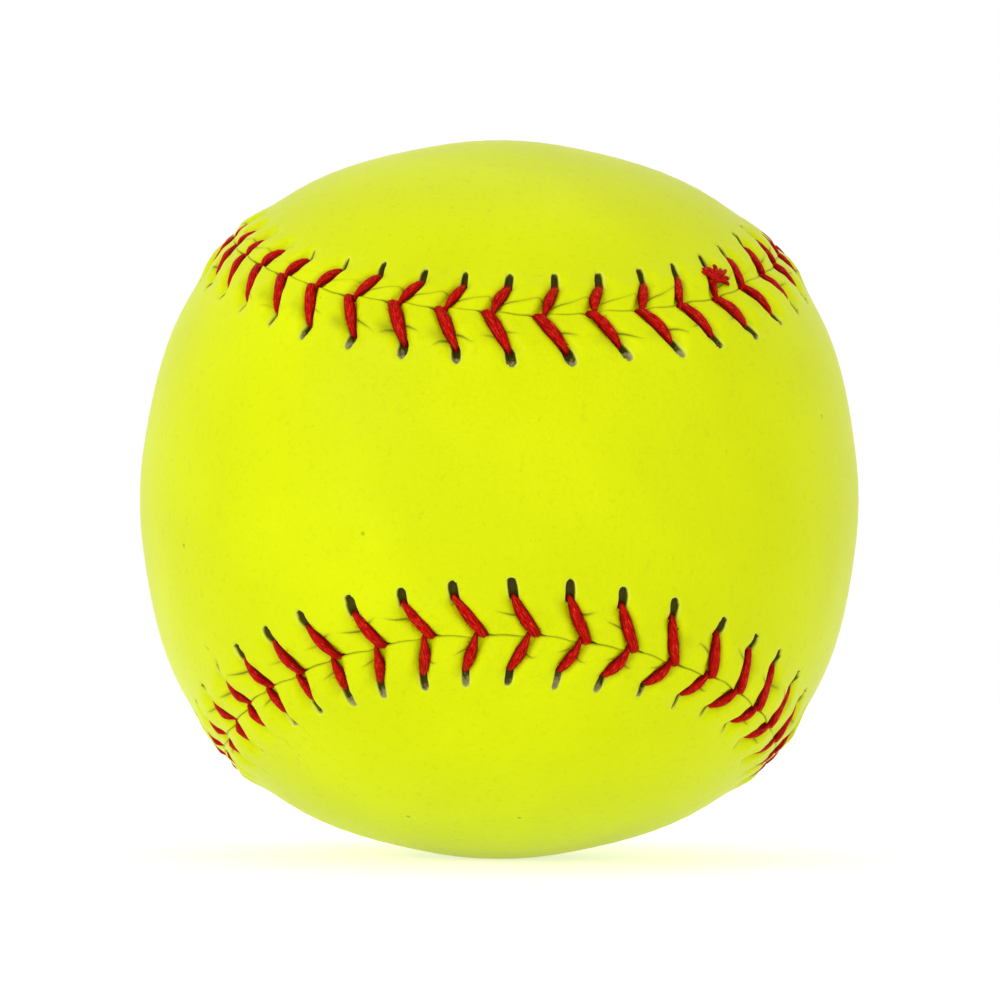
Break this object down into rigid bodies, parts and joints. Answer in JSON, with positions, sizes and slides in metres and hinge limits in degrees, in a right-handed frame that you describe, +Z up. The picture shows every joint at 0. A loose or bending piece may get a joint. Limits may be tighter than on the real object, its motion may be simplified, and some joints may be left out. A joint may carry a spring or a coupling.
{
  "type": "softball",
  "caption": "Round wound-core softball with a yellow two-panel cover joined by one winding raised seam of red V-shaped stitches.",
  "frame": {"origin": "centre of the ball", "axes": "+Z up; -Y towards the middle of the front panel's waist, whose wide ends lie at +X and -X; +Y towards the back panel's waist, whose wide ends lie at +Z and -Z"},
  "size_m": [0.0952, 0.0965, 0.0952],
  "materials": {
    "core_fibre": "matte packed fibre",
    "coarse_yarn": "matte coarse yarn",
    "fine_yarn": "matte fine yarn",
    "latex": "matte pale latex",
    "cover_leather": "soft satin with a faint grain",
    "red_thread": "waxed thread with a low sheen"
  },
  "bodies": {
    "root": {"fibre_core": "core_fibre", "inner_winding": "coarse_yarn", "outer_winding": "fine_yarn", "rubber_coat": "latex", "cover_front": "cover_leather", "cover_back": "cover_leather", "thread_first_needle": "red_thread", "thread_second_needle": "red_thread", "finishing_knot": "red_thread"}
  },
  "joints": []
}
